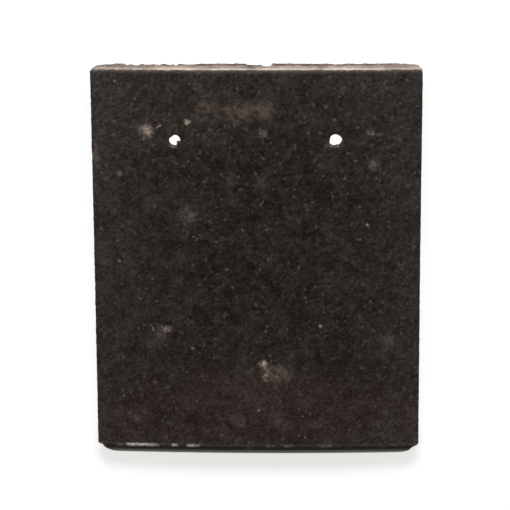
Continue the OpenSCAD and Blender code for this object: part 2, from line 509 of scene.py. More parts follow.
def tail_corners(form, wear, x, s):
    """Takes the two tail corners off: the tail's line comes up by the loss at x, and the rows
    above it by as much less as they are nearer to the end of the reach."""
    up = s + form.head
    share = ramp(up, wear.corner_reach, 0)
    for side, loss in TAIL_LOSS.items():
        own = np.where(x * side > 0, table((form.half - x * side) / MM, loss), 0)
        up = up + own * MM * share
    return x, up - form.head


def hole_radius(form, wear, side, turn, deep):
    """Radius of a nail hole at an angle and a depth: the bore, wider by a cone in the mouth and
    in the burst below, with the ragged rim's lobes, each a hump round its own angle."""
    sizes = form.sizes
    thick = sizes.thick
    mouth = ramp(deep, sizes.mouth_deep, 0) * sizes.mouth_extra / 2
    low = ramp(deep, thick - wear.burst_deep, thick) * wear.burst / 2
    ragged, lobes = HOLE_RIMS[side]
    for middle, width, amount in lobes:
        off = np.angle(np.exp(1j * (turn - math.radians(middle))))
        ragged = ragged + amount * hump(off, 0, math.radians(width))
    throat = hump(deep, THROAT[0] * thick, THROAT[1] * thick)
    return sizes.bore / 2 + mouth + low + ragged * MM * throat


def hole_plan(form, wear, x, s, deep):
    """Turns the square of grid round each hole to its circle: a point's distance goes from the
    hole's radius at the square's edge to its own at the rim of the turned part."""
    x, s = x.copy(), s.copy()
    for side, (cx, cs) in zip((-1, 1), form.holes()):
        dx, ds = x - cx, s - cs
        far = np.maximum(np.abs(dx), np.abs(ds))
        near = (far < HOLE_TURNED) & (far > 0)
        turn = np.arctan2(ds[near], dx[near])
        radius = hole_radius(form, wear, side, turn, deep)
        own = np.hypot(dx[near], ds[near])
        share = ramp(far[near], HOLE_BLOCK, HOLE_TURNED)
        gone = (1 - share) * radius * far[near] / HOLE_BLOCK + share * own
        x[near] = cx + np.cos(turn) * gone
        s[near] = cs + np.sin(turn) * gone
    return x, s


def cells(n):
    """The quads of a grid of point numbers."""
    return np.stack([n[:-1, :-1], n[:-1, 1:], n[1:, 1:], n[1:, :-1]], -1)


def ring_of(n):
    """The border of a grid of point numbers, counter-clockwise from its first."""
    return np.concatenate([n[0, :-1], n[:-1, -1], n[-1, :0:-1], n[:0:-1, 0]])


class Shell:
    """The tile's points and quads as they are made, and how far round each point is, from 0 on
    the face to 1 on the underside."""

    def __init__(self):
        self.places, self.round_to, self.faces = [], [], []
        self.total = 0

    def add(self, places, share):
        """Adds points that are all that far round, and gives their numbers."""
        numbers = np.arange(self.total, self.total + len(places))
        self.places.append(places)
        self.round_to.append(np.full(len(places), share))
        self.total += len(places)
        return numbers

    def wall(self, upper, lower, turned):
        """Quads between two closed rings, facing away from the ring's inside unless turned."""
        quads = np.stack([upper, lower, np.roll(lower, -1), np.roll(upper, -1)], -1)
        self.faces.append(quads[:, ::-1] if turned else quads)

    def join(self, upper, lower, between, turned=False):
        """Walls from one ring down to another, over the rows between, each a share and places."""
        above = upper
        for share, places in between:
            ring = self.add(places, share)
            self.wall(above, ring, turned)
            above = ring
        self.wall(above, lower, turned)

    def finished(self):
        """The points that a quad uses, how far round each is, and the quads by the new numbers."""
        places, round_to, faces = map(np.concatenate, (self.places, self.round_to, self.faces))
        used = np.zeros(self.total, bool)
        used[faces] = True
        return places[used], round_to[used], (np.cumsum(used) - 1)[faces]


def tile_mesh(form, wear):
    """Places in x, s and z, how far round each is, and quads: a sheet for the face and one for
    the underside, joined round the edges by rows that lie evenly along a half turn's cosine, and
    down each hole by rows on its radius."""
    xs, ss = columns(form, wear.pitch), rows(form, wear.pitch)
    blocks = hole_blocks(form, xs, ss)
    grid = np.meshgrid(xs, ss)

    def sheet(height, deep):
        x, s = hole_plan(form, wear, *grid, deep)
        x, s = tail_corners(form, wear, *head_corners(form, x, s))
        return np.stack([x, s, height(x, s)], -1).reshape(-1, 3)

    top = sheet(form.face, 0.0)
    bottom = sheet(lambda x, s: form.worn_underside(x, s, wear), form.sizes.thick)
    shell = Shell()
    upper = shell.add(top, 0.0).reshape(len(ss), len(xs))
    lower = shell.add(bottom, 1.0).reshape(upper.shape)

    whole = np.ones((len(ss) - 1, len(xs) - 1), bool)
    for i, j in blocks:
        whole[i.start : i.stop - 1, j.start : j.stop - 1] = False
    quads = cells(upper)[whole]
    shell.faces += [quads, quads[:, ::-1] + len(top)]

    rim = ring_of(upper)
    shares = (1 - np.cos(np.linspace(0, math.pi, RIM_ROWS + 1)))[1:-1] / 2
    between = [(t, (1 - t) * top[rim] + t * bottom[rim]) for t in shares]
    shell.join(rim, ring_of(lower), between)

    for side, (cx, cs), block in zip((-1, 1), form.holes(), blocks):
        edge = ring_of(upper[block])
        turn = np.arctan2(top[edge, 1] - cs, top[edge, 0] - cx)
        between = []
        for t in np.linspace(0, 1, HOLE_ROWS + 1)[1:-1]:
            radius = hole_radius(form, wear, side, turn, t * form.sizes.thick)
            z = (1 - t) * top[edge, 2] + t * bottom[edge, 2]
            places = [cx + radius * np.cos(turn), cs + radius * np.sin(turn), z]
            between.append((t, np.stack(places, -1)))
        shell.join(edge, ring_of(lower[block]), between, turned=True)
    return shell.finished()


def hashed(corner, seed):
    """A number from 0 to 1 for each whole-numbered corner and seed: products with large odd
    numbers, whose bits are mixed by shifts."""
    a, b, c, d, e, f = SCATTER
    x, y, z = corner.astype(np.int64).T
    h = (x * a ^ y * b ^ z * c ^ seed * d) & KEPT_BITS
    h = ((h ^ (h >> 15)) * e) & KEPT_BITS
    h = ((h ^ (h >> 13)) * f) & KEPT_BITS
    return ((h ^ (h >> 16)) & GIVEN_BITS) / GIVEN_BITS


def noise(points, cell, seed):
    """Smooth noise from 0 to 1: the corners' numbers of a lattice of that cell, blended by the
    smooth step of a point's place in its cell."""
    p = points / cell
    base = np.floor(p)
    f = p - base
    f = f * f * (3 - 2 * f)
    total = np.zeros(len(p))
    for corner in np.ndindex(2, 2, 2):
        weight = np.prod(np.where(np.array(corner) == 1, f, 1 - f), axis=1)
        total += weight * hashed(base + corner, seed)
    return total


def outward(points, faces):
    """Unit normals of the points: the sum of the normals of the quads round each."""
    a, b, c, d = (points[faces[:, k]] for k in range(4))
    across = np.cross(c - a, d - b)
    normals = np.zeros_like(points)
    for k in range(4):
        for axis in range(3):
            normals[:, axis] += np.bincount(
                faces[:, k], weights=across[:, axis], minlength=len(points)
            )
    return normals / np.maximum(np.linalg.norm(normals, axis=1, keepdims=True), 1e-12)


def chip_strength(x):
    """Strength of the tail arris's chips at x: each is full between its ends and fades in 1 mm."""
    x = np.asarray(x) / MM
    ends = [np.clip(np.minimum(x - a, b - x) + 0.5, 0, 1) * amount for a, b, amount in CHIPS]
    return np.max(ends, axis=0)


def worn(form, wear, places, round_to, faces):
    """The points moved inward along their normals. The depth is the sum of the granules' noise,
    more of it on the raw head and nibs, an uneven edge that fades away from it, and humps of loss
    along the arrises, the nibs' edge and the chips where the noise is high. Then the long sides
    are drawn in by a parabola along the tile."""
    sizes = form.sizes
    x, s, z = places.T
    points = form.points(x, s, z)
    normals = outward(points, faces)
    fine, lump, broad, wide = (
        noise(points, cell, wear.seed + k) for k, cell in enumerate(NOISE_CELLS)
    )
    back, up = form.head - s, s + form.head
    face, below = ramp(round_to, 1 / 8, 0), ramp(round_to, 2 / 3, 1)

    # the granules, and the raw concrete
    nose = ramp(up, wear.slick_up + NOSE_START, wear.slick_up + NOSE_FULL) * (1 - below)
    cut = ramp(back, CUT_START, CUT_FULL) * ramp(round_to, 0, 1 / 12)
    nib = ramp(back, sizes.nib_long + NIB_START, sizes.nib_long + NIB_FULL) * below
    raw = np.clip(cut + nib, 0, 1)
    deep = wear.grit * fine * (1 - 0.9 * nose) * (1 - 0.5 * below)
    deep += wear.raw_grit * raw * (0.4 * lump + 0.6 * fine) * (1 + nib)

    # the edges and arrises
    rim = np.minimum(np.minimum(form.half - np.abs(x), back), up)
    deep += wear.wave * (0.7 * broad + 0.3 * wide) * np.exp(-rim / WAVE_REACH) * (1 - 0.6 * nose)
    down = np.where(rim < ON_EDGE, np.minimum(round_to, 1 - round_to) * sizes.thick, rim)
    arris = hump(down, 0, ARRIS_REACH) * (1 - nose * face)
    deep += wear.crumble * arris * (0.1 + 1.6 * np.clip(lump * 0.6 + fine * 0.6 - 0.4, 0, 1))

    # the lower edge of the nibs, and the chips
    tip = np.where(back < ON_EDGE, (1 - round_to) * form.tip_down, back)
    tip = hump(tip, 0, TIP_REACH) * ramp(round_to, 1 / 2, 5 / 6)
    leftward = 0.35 + 0.65 * ramp(x, 0, -LEFT_REACH)
    deep += wear.nib_loss * tip * np.clip(1.6 * lump + 1.0 * fine - 0.85, 0, 1) * leftward
    chips = chip_strength(x) * hump(up, wear.chip_up, CHIP_REACH) * face
    deep += wear.chip * chips * np.clip(1.6 * lump + 0.6 * fine - 0.4, 0, 1)

    points = points - normals * (deep + SKIM)[:, None]
    points[:, 0] *= 1 - wear.waist / form.half * (1 - (s / form.head) ** 2)
    return np.clip(points, np.array(LOW) + CLEAR, np.array(HIGH) - CLEAR)


def closed_mesh(name, points, faces, marks):
    """An object of the points and quads, smooth shaded, with each mark as a point attribute."""
    mesh = bpy.data.meshes.new(name)
    mesh.vertices.add(len(points))
    mesh.vertices.foreach_set("co", points.astype(np.float32).ravel())
    mesh.loops.add(faces.size)
    mesh.loops.foreach_set("vertex_index", faces.astype(np.int32).ravel())
    mesh.polygons.add(len(faces))
    mesh.polygons.foreach_set("loop_start", np.arange(0, faces.size, 4, dtype=np.int32))
    mesh.polygons.foreach_set("use_smooth", np.ones(len(faces), bool))
    mesh.update(calc_edges=True)
    if mesh.validate():
        raise RuntimeError(f"the mesh of {name} had faults")
    for mark, values in marks.items():
        attribute = mesh.attributes.new(mark, "FLOAT", "POINT")
        attribute.data.foreach_set("value", np.asarray(values, np.float32))
    piece = bpy.data.objects.new(name, mesh)
    bpy.context.scene.collection.objects.link(piece)
    return piece


def hole_mark(form, places, round_to):
    """1 in the nail holes: a ramp on the distance from the nearest one's middle, times a ramp on
    how far round a point is."""
    far = [np.hypot(places[:, 0] - x, places[:, 1] - s) for x, s in form.holes()]
    return ramp(np.min(far, axis=0), HOLE_OUTER, HOLE_INNER) * ramp(round_to, 0, 1 / 14)


# ---------------------------------------------------------------- finish


def maths(operation, flipped=False):
    """A method that adds a Math node of that operation, with its values in turn or flipped."""

    def work(*values):
        board = values[0].board
        sockets = dict(zip(("Value", "Value_001"), values[:: -1 if flipped else 1]))
        return board.term(board.node("ShaderNodeMath", {"operation": operation}, sockets))

    return work


class Term:
    """A value socket in plain arithmetic: each operation adds its Math node."""

    def __init__(self, board, socket):
        self.board = board
        self.socket = socket

    __add__ = __radd__ = maths("ADD")
    __mul__ = __rmul__ = maths("MULTIPLY")
    __sub__ = maths("SUBTRACT")
    __rsub__ = maths("SUBTRACT", flipped=True)
    __truediv__ = maths("DIVIDE")
    __rtruediv__ = maths("DIVIDE", flipped=True)
    __pow__ = maths("POWER")
    __rpow__ = maths("POWER", flipped=True)
    least = maths("MINIMUM")
    most = maths("MAXIMUM")
    size = maths("ABSOLUTE")

    def between(self, low, high):
        """0 at low, 1 at high and a smooth step between them; low may be the greater."""
        node = self.board.node(
            "ShaderNodeMapRange",
            {"interpolation_type": "SMOOTHSTEP", "clamp": True},
            {"Value": self, "From Min": low, "From Max": high},
        )
        return self.board.term(node)


class Board:
    """The node board of one material, or of the world."""

    def __init__(self, owner):
        owner.use_nodes = True
        self.owner = owner
        self.tree = owner.node_tree
        self.tree.nodes.clear()

    def node(self, kind, settings=None, sockets=None):
        """Adds a node of a kind: its settings first, then its sockets' values or links."""
        node = self.tree.nodes.new(kind)
        for key, value in (settings or {}).items():
            setattr(node, key, value)
        for key, value in (sockets or {}).items():
            socket = next(s for s in node.inputs if key in (s.identifier, s.name))
            value = value.socket if isinstance(value, Term) else value
            if isinstance(value, bpy.types.NodeSocket):
                self.tree.links.new(value, socket)
            else:
                socket.default_value = value
        return node

    def out(self, kind, settings=None, sockets=None):
        """Adds a node and gives its first output."""
        return self.node(kind, settings, sockets).outputs[0]

    def term(self, node, output=0):
        """One of a node's outputs as a term."""
        return Term(self, node.outputs[output])

    def split(self, vector):
        """The three parts of a vector or a colour."""
        node = self.node("ShaderNodeSeparateXYZ", None, {"Vector": vector})
        return [self.term(node, k) for k in range(3)]

    def place(self):
        """Object coordinates."""
        return self.node("ShaderNodeTexCoord").outputs["Object"]

    def mark(self, name):
        """A point attribute of the piece."""
        return self.term(self.node("ShaderNodeAttribute", {"attribute_name": name}), "Fac")

    def vector(self, operation, *values):
        """Arithmetic on vectors or colours."""
        sockets = dict(zip(("Vector", "Vector_001", "Vector_002"), values))
        return self.out("ShaderNodeVectorMath", {"operation": operation}, sockets)

    def scaled(self, colour_of, amount):
        """A colour times a value."""
        sockets = {"Vector": colour_of, "Scale": amount}
        return self.out("ShaderNodeVectorMath", {"operation": "SCALE"}, sockets)

    def blend(self, share, *pair):
        """A colour between a pair, by a share from 0 to 1."""
        first, second = (c if isinstance(c, bpy.types.NodeSocket) else (*c, 1) for c in pair)
        node = self.node(
            "ShaderNodeMix",
            {"data_type": "RGBA", "clamp_factor": True},
            {"Factor_Float": share, "A_Color": first, "B_Color": second},
        )
        return next(s for s in node.outputs if s.identifier == "Result_Color")

    def spot(self, at, middle, reach):
        """1 at a middle, falling smoothly to 0 at the reach, each a pair in x and s."""
        off = self.vector("SUBTRACT", at, (*middle, 0))
        share = self.vector("MULTIPLY", off, (1 / reach[0], 1 / reach[1], 0))
        far = self.node("ShaderNodeVectorMath", {"operation": "LENGTH"}, {"Vector": share})
        return self.term(far, "Value").between(1.0, 0.0)

    def clouds(self, at, cell, detail, roughness, seed):
        """Noise about 0.5 whose patches are about the cell across, in the unit of at."""
        node = self.node(
            "ShaderNodeTexNoise",
            {"noise_dimensions": "4D"},
            {"Vector": at, "W": seed, "Scale": 1 / cell, "Detail": detail, "Roughness": roughness},
        )
        return self.term(node, "Fac")

    def granules(self, at, cell, shift):
        """Cells of granules: the distance from each one's middle, and three numbers of its own."""
        moved = self.vector("ADD", at, (shift, shift, shift))
        node = self.node("ShaderNodeTexVoronoi", None, {"Vector": moved, "Scale": 1 / cell})
        return self.term(node, "Distance"), self.split(node.outputs["Color"])

    def mixed(self, share, first, second):
        """A shader between two, by a share from 0 to 1."""
        sockets = {"Fac": share, "Shader": first, "Shader_001": second}
        return self.out("ShaderNodeMixShader", None, sockets)

    def finish(self, surface, output="ShaderNodeOutputMaterial"):
        """Links the surface to the output, and gives the material or the world."""
        self.node(output, None, {"Surface": surface})
        return self.owner


def strongest(parts):
    """The greatest of several terms."""
    return reduce(Term.most, parts)


CLOUDS = {  # noises of the finish: cell in millimetres, detail, roughness and seed
    "mottle": (10.0, 3.0, 1.0, 1.0),
    "breadth": (45.0, 1.0, 0.6, 4.0),
    "stain": (20.0, 3.0, 0.7, 21.0),
    "haze": (14.0, 3.0, 0.7, 8.0),
    "rub": (2.2, 3.0, 0.7, 2.0),
    "jag": (1.3, 2.0, 0.6, 7.0),
    "wander": (5.0, 4.0, 0.65, 6.0),
    "fine": (0.8, 3.0, 0.7, 5.0),
    "slur": (9.0, 4.0, 0.6, 3.0),
    "lumps": (3.5, 3.0, 0.8, 15.0),
    "blotch": (10.0, 2.0, 0.7, 18.0),
    "bits": (2.4, 2.0, 0.6, 25.0),
    "flake": (2.6, 2.0, 0.7, 17.0),
}
BIG, SMALL, STONES = (1.3, 0.0), (0.75, 31.0), (2.4, 11.0)  # granules: cell, and own shift
FACE_TONE, FACE_LEAST = 1.035, 0.25  # middle and least of the face's tone, before it is squared
FACE_GAIN, FACE_OFF = 0.183, 0.052  # that tone's gain and offset as a share of light granules
TALL = (1, 1, 0.3)  # stretch of the lumps and blotches down the cut head
STRAY_SCALE, STRAY = 0.3, 7.0  # noise that frays the scuffs: its scale, and how far it goes
BROAD_SPOTS = (  # where the face is darker or paler as a whole: middle, reach and amount
    ((26.0, 38.0), (80.0, 65.0), -0.08),
    ((-4.0, -30.0), (48.0, 36.0), 0.06),
)
SCUFFS = (  # middle x and s, reach across and along, in millimetres, strength, and its colour
    (-54.4, 69.3, 5.4, 5.2, 0.56, "lime"),
    (-33.4, 74.5, 3.2, 2.2, 0.9, "lime"),
    (-48.7, 71.9, 1.2, 1.2, 0.35, "mauve"),
    (-30.0, 76.5, 9.0, 6.0, 0.14, "dust"),
    (-24.0, 81.5, 10.0, 5.5, 0.34, "dust"),
    (-8.0, 79.4, 16.0, 8.0, 0.4, "dust"),
    (3.5, 80.2, 7.5, 7.0, 0.52, "dust"),
    (3.4, 69.1, 3.4, 4.4, 0.17, "mauve"),
    (56.4, 69.2, 2.6, 2.6, 0.24, "mauve"),
    (61.5, 67.8, 2.4, 2.4, 0.1, "mauve"),
    (58.6, 52.6, 4.0, 4.0, 0.19, "mauve"),
    (1.8, 43.7, 4.5, 5.0, 0.03, "mauve"),
    (-33.9, 27.0, 6.5, 7.0, 0.13, "mauve"),
    (-45.8, -32.9, 4.6, 2.8, 0.36, "mauve"),
    (-48.6, -37.5, 6.0, 5.5, 0.34, "dust"),
    (-53.0, -33.0, 1.2, 1.2, 0.5, "lime"),
    (66.3, -38.2, 6.4, 4.6, 0.09, "mauve"),
    (3.2, -51.4, 3.2, 3.4, 0.74, "lime"),
    (4.4, -56.0, 1.8, 6.0, 0.34, "lime"),
    (9.5, -57.0, 13.5, 9.0, 0.54, "dust"),
    (-9.0, -81.6, 7.0, 6.0, 0.16, "dust"),
    (12.0, -82.6, 9.0, 6.0, 0.26, "dust"),
    (0.0, -63.0, 50.0, 24.0, 0.12, "dust"),
    (-80.2, 57.3, 2.4, 9.0, 0.62, "dust"),
)
GRAINS = (  # lone pale grains: x, s, reach in millimetres, and strength
    (-68.3, 47.7, 2.2, 0.13),
    (55.3, 21.8, 1.1, 0.44),
    (-69.2, 2.6, 1.3, 0.16),
    (31.9, -30.9, 1.3, 0.36),
    (-32.7, -42.9, 1.5, 0.19),
    (-70.0, 94.4, 1.2, 0.16),
    (0.7, -76.0, 1.0, 0.35),
    (24.2, -90.7, 1.0, 0.18),
    (-65.6, -78.1, 1.2, 0.1),
    (-68.5, -69.0, 1.0, 0.15),
)
NIB_DEEP = 12.4  # depth under the crown's arc at which the nibs' colour starts on the cut head
BUMP_DEEP = 0.5 * MM  # distance of the bump
SHEEN = 0.08  # specular level of the dull concrete


class TileFinish:
    """The tile's material: a dark sanded skin on the face, nose and upper sides, worn to pale
    concrete in the scuffs and chips, a raw pale cut at the head, and moulded concrete below, with
    painted light: paler near the edges, painted glints, and painted shade and reflection on the
    nose.
    Its places are in millimetres."""

    def __init__(self, form, wear, colours):
        board = self.board = Board(bpy.data.materials.new("sand_faced_concrete"))
        self.form, self.colours = form, colours
        self.at = self.tile_place()
        self.x, self.s, z = board.split(self.at)
        self.round_to, self.bore = board.mark("round_to"), board.mark("bore")
        self.half, self.head = form.half / MM, form.head / MM
        self.slick_s = wear.slick_up / MM - self.head
        self.chip_s = wear.chip_up / MM - self.head
        cross, along = (MM / 2 / r for r in (form.sizes.cross_radius, form.sizes.long_radius))
        self.deep = (z + self.x * self.x * cross + self.s * self.s * along) * -1
        self.jag, self.wander = self.cloud("jag") - 0.5, self.cloud("wander") - 0.5
        self.fine, self.slur = self.cloud("fine"), self.cloud("slur")
        stretched = {"Vector": self.at, "Scale": TALL}
        tall = board.out("ShaderNodeMapping", {"vector_type": "POINT"}, stretched)
        self.lumps, self.blotch = self.cloud("lumps", tall), self.cloud("blotch", tall)
        self.big, self.big_pick = board.granules(self.at, *BIG)
        self.small, small_pick = board.granules(self.at, *SMALL)
        _, self.stone_pick = board.granules(self.at, *STONES)
        self.grain = self.big_pick[0] * 0.6 + small_pick[0] * 0.4
        self.glint = self.big_pick[1].between(0.93, 1.0)
        self.smooth = (self.s + self.wander * 1.2 + self.jag * 0.6).between(
            self.slick_s + 0.3, self.slick_s - 0.3
        )

    def tile_place(self):
        """Object coordinates turned back to x, s and z on the tile."""
        sockets = {
            "Vector": self.board.place(),
            "Location": (0, *self.form.shift),
            "Rotation": (self.form.tilt, 0, 0),
            "Scale": (MM, MM, MM),
        }
        return self.board.out("ShaderNodeMapping", {"vector_type": "TEXTURE"}, sockets)

    def cloud(self, name, at=None):
        """One of the named noises."""
        return self.board.clouds(at or self.at, *CLOUDS[name])

    def sanded(self):
        """The skin's granules, mottled at every size up to a hand's breadth, stained toward the
        tail, and with painted glints on a few."""
        s, colours = self.s, self.colours
        mottle = (self.cloud("mottle") - 0.5) * 2.4
        mottle = mottle + (self.cloud("breadth") - 0.5) * 0.4
        for middle, reach, amount in BROAD_SPOTS:
            mottle = mottle + self.board.spot(self.at, middle, reach) * amount
        tone = (FACE_TONE + mottle + (self.grain - 0.5) * 0.75).most(FACE_LEAST) ** 2.0
        tone = tone * (1 + s.between(-62.0, -84.0) * 0.12)
        skin = self.board.blend(tone * FACE_GAIN - FACE_OFF, colours.dark, colours.light)
        patch = self.cloud("stain") - 0.5
        warm = (s + patch * 60).between(-30.0, -72.0) * 0.034 + (patch * 0.03).most(0.0)
        skin = self.board.blend(warm, skin, colours.maroon)
        # pale specks on one big granule in so many: painted glints
        return self.board.blend(self.glint * (0.1 + self.big_pick[2] * 0.3), skin, colours.haze)

    def paled_by_wear_and_glare(self, skin):
        """The skin paler toward the edges and the head, by powers of a place's share of the way
        out:
        partly worn granules, and partly painted light that stands in for the glare near the edges."""
        x, s, haze = self.x, self.s, self.colours.haze
        across, along = x / self.half, s / self.head
        # painted light for the glare near the edges, partly wear as well
        out = (across * across) * 0.07 + (along * along) ** 1.5 * 0.04
        out = out + s.between(45.0, 85.0) * x.between(50.0, 0.0) * 0.012
        wear_and_glare_share = out * (0.4 + self.cloud("haze") * 1.2) * (0.5 + self.grain)
        skin = self.board.blend(wear_and_glare_share, skin, haze)
        # paler still within 3 mm of the head edge
        edge_pale = ((s + self.jag - (self.head - 3.0)) / 3.0).most(0.0) ** 2.0 * 0.75
        return self.board.blend(edge_pale, skin, haze)

    def scuffed(self, skin):
        """The skin with its scuffs, whose places are strayed by noise, and its lone grains."""
        board = self.board
        sockets = {"Vector": self.at, "Scale": STRAY_SCALE, "Detail": 3.0, "Roughness": 0.7}
        stray = board.node("ShaderNodeTexNoise", None, sockets).outputs["Color"]
        strayed = board.vector("MULTIPLY_ADD", stray, (STRAY, STRAY, 0), self.at)
        strayed = board.vector("SUBTRACT", strayed, (STRAY / 2, STRAY / 2, 0))
        rub = self.cloud("rub").between(0.34, 0.66)
        for kind in ("dust", "lime", "mauve"):
            parts = [
                board.spot(strayed, (x, s), (wide, long)) * strength
                for x, s, wide, long, strength, name in SCUFFS
                if name == kind
            ]
            share = strongest(parts) * (0.15 + rub * 1.0)
            skin = board.blend(share, skin, getattr(self.colours, kind))
        parts = [board.spot(self.at, (x, s), (r, r)) * strength for x, s, r, strength in GRAINS]
        return board.blend(strongest(parts), skin, self.colours.bare)

    def raw(self):
        """The cut head: stones, lumps and blotches, darker deep down, toward both ends, and
        along the face, most of all near the middle."""
        board, x, deep, lumps = self.board, self.x, self.deep, self.lumps
        tone = 0.8 + self.stone_pick[0] * 0.3 + (self.fine - 0.5) * 0.7
        tone = tone + (lumps - 0.5) * 2.0 + (self.blotch - 0.5) * 1.6
        tone = (tone * (1 - (deep + (lumps - 0.5) * 14).between(4.0, 11.0) * 0.45)).most(0.15)
        tone = tone * (0.72 + x.between(-82.0, -40.0) * 0.28)
        margin = deep.between(2.6, 0.6) * (0.3 + x.size().between(48.0, 18.0) * 0.45)
        tone = tone * (1 - x.between(60.0, 82.0) * 0.15) * (1 - margin)
        stones = board.blend(self.stone_pick[1] * 0.3, self.colours.raw, self.colours.lime)
        return board.scaled(stones, tone)

    def nib(self):
        """The nibs' ends: concrete with brown crumbs, more of them lower down."""
        fine, lumps = self.fine, self.lumps
        tone = 0.7 + self.stone_pick[0] * 0.35 + (fine - 0.5) * 1.0 + (lumps - 0.5) * 0.7
        crumbs = (lumps + (fine - 0.5) * 0.6 + (self.deep - 15.0) * 0.03).between(0.47, 0.58)
        mix = self.board.blend(crumbs * 0.9, self.colours.nib, self.colours.crumb)
        return self.board.scaled(mix, tone)

    def under(self, nib):
        """The moulded underside, slurred with the nibs' concrete."""
        tone = 0.72 + self.slur * 0.45 + (self.fine - 0.5) * 0.5
        mix = self.board.blend(self.slur.between(0.35, 0.7) * 0.5, self.colours.under, nib)
        return self.board.scaled(mix, tone)

    def nosed(self, skin, under):
        """The skin with the slick nose below its line: dark near the line, partly painted shade,
        and paler toward the tail, a painted reflection of the pale floor at the grazing edge; it
        turns to the underside's concrete as it goes round."""
        board, colours = self.board, self.colours
        low = (self.round_to + self.wander * 0.25 + (self.slur - 0.5) * 0.5).between(0.02, 0.4)
        # painted reflection of the pale floor, growing toward the tail
        reflection_share = (((self.slick_s - 1.1) - self.s + self.jag * 0.4) / 2.9).most(0.0)
        nose = board.blend(reflection_share.least(1.0) ** 3.0, colours.slick, colours.nose_reflection)
        nose = board.blend(low, nose, board.scaled(under, 0.8))
        return board.blend(self.smooth, skin, board.scaled(nose, 0.75 + self.fine * 0.5))

    def cut(self, body, raw, nib):
        """The body with its raw head, where the nibs' concrete starts at a ragged depth but not
        between them."""
        x, jag, wander = self.x, self.jag, self.wander
        lower = self.deep - NIB_DEEP + wander * 2.5 + jag * 1.2 - x * x * 0.0004
        gap = (x - self.form.sizes.nib_gap_x / MM).size().between(8.5, 6.0)
        ahead = self.s + (self.round_to * 12).least(1.0) * 1.3 + jag * 1.6 + wander * 2.6
        share = ahead.between(self.head - 0.8, self.head + 0.1)
        low_share = lower.between(0.0, 1.6) * (1 - gap)
        return self.board.blend(share, body, self.board.blend(low_share, raw, nib))

    def holed(self, body):
        """The body darker inside its nail holes, with a few paler bits."""
        board, colours = self.board, self.colours
        bits = self.cloud("bits").between(0.52, 0.66)
        dull = board.scaled(colours.haze, 0.3 + self.fine * 0.3)
        hole_inside_colour = board.blend(bits, dull, board.scaled(colours.lime, 0.3))
        return board.blend((self.bore + self.jag * 0.5).between(0.35, 0.7), body, hole_inside_colour)

    def chipped(self, body):
        """The body with its chips along the tail arris, flaky, and bare where they are deep."""
        board, x, jag = self.board, self.x, self.jag
        parts = [((x - a).least(b - x) + jag * 4).between(-1.0, 0.8) * k for a, b, k in CHIPS]
        line = (self.s - self.chip_s + jag * 1.5 + self.wander * 1.0).size().between(1.3, 0.0)
        chip = (strongest(parts) + 0.035) * line * self.round_to.between(0.1, 0.02)
        flake = self.cloud("flake").between(0.3, 0.7)
        fresh = board.blend(chip * 2.5, self.colours.lime, self.colours.bare)
        return board.blend(chip * (0.3 + flake), body, fresh)

    def relief(self):
        """Relief finer than the mesh: domes of granules and fine noise, less on the nose."""
        height = self.big * -0.6 + self.small * -0.3 + self.fine * 0.5
        height = height * (1 - self.smooth * 0.9)
        sockets = {"Height": height, "Strength": 0.9, "Distance": BUMP_DEEP}
        return self.board.out("ShaderNodeBump", None, sockets)

    def material(self):
        """The skin down to the underside, and over both the raw head, the holes and the chips."""
        raw, nib = self.raw(), self.nib()
        under = self.under(nib)
        skin = self.nosed(self.scuffed(self.paled_by_wear_and_glare(self.sanded())), under)
        below = (self.round_to + self.wander * 0.5).between(0.45, 0.95)
        body = self.cut(self.board.blend(below, skin, under), raw, nib)
        sockets = {
            "Base Color": self.chipped(self.holed(body)),
            "Roughness": 0.88 - self.smooth * 0.3 - self.glint * 0.2,
            "Normal": self.relief(),
            "Specular IOR Level": SHEEN,
        }
        return self.board.finish(self.board.out("ShaderNodeBsdfPrincipled", None, sockets))


# painted light on the floor: white where it shows through the nail holes and close beside the
# tile, over the tile's shadow there
SEEN = ((-0.0417, 0.0618), (0.0393, 0.0618))  # places on the floor, seen through the nail holes
SEEN_REACH = 0.0052  # of the white from each of them
BESIDE = 0.6  # how white the floor is made in a strip close beside the tile
BESIDE_ACROSS = ((0.080, 0.083), (0.13, 0.09))  # where the strip fades in and out
BESIDE_ALONG = ((-0.098, -0.085), (0.104, 0.1))
FAR = (0.06, 0.4)  # squares of the distances between which it turns white
SHADE_BLUE = 1.07  # blue of the part that takes the light, against its red
GLOW_TINT = (1, 0.998, 0.96, 1)  # of the even part
WHITE = (1, 1, 1, 1)
FLOOR_REACH, FLOOR_LINES = 4.0, 9  # half of the floor's side, and its grid's lines each way
FLOOR_DROP = 0.05 * MM  # how far the floor lies under the tile's feet
KEY_SIZE = (0.6, 0.45)  # sides of the lamp's rectangle
SENSOR, SIGHT = 36.0, 50.0  # the camera's sensor in millimetres, and how far it sees


def seen(board):
    """1 for the rays of the camera, of mirrors and of glass, and 0 for those of the light."""
    rays = board.node("ShaderNodeLightPath")
    kinds = ("Is Camera Ray", "Is Glossy Ray", "Is Transmission Ray")
    return strongest([board.term(rays, kind) for kind in kinds])


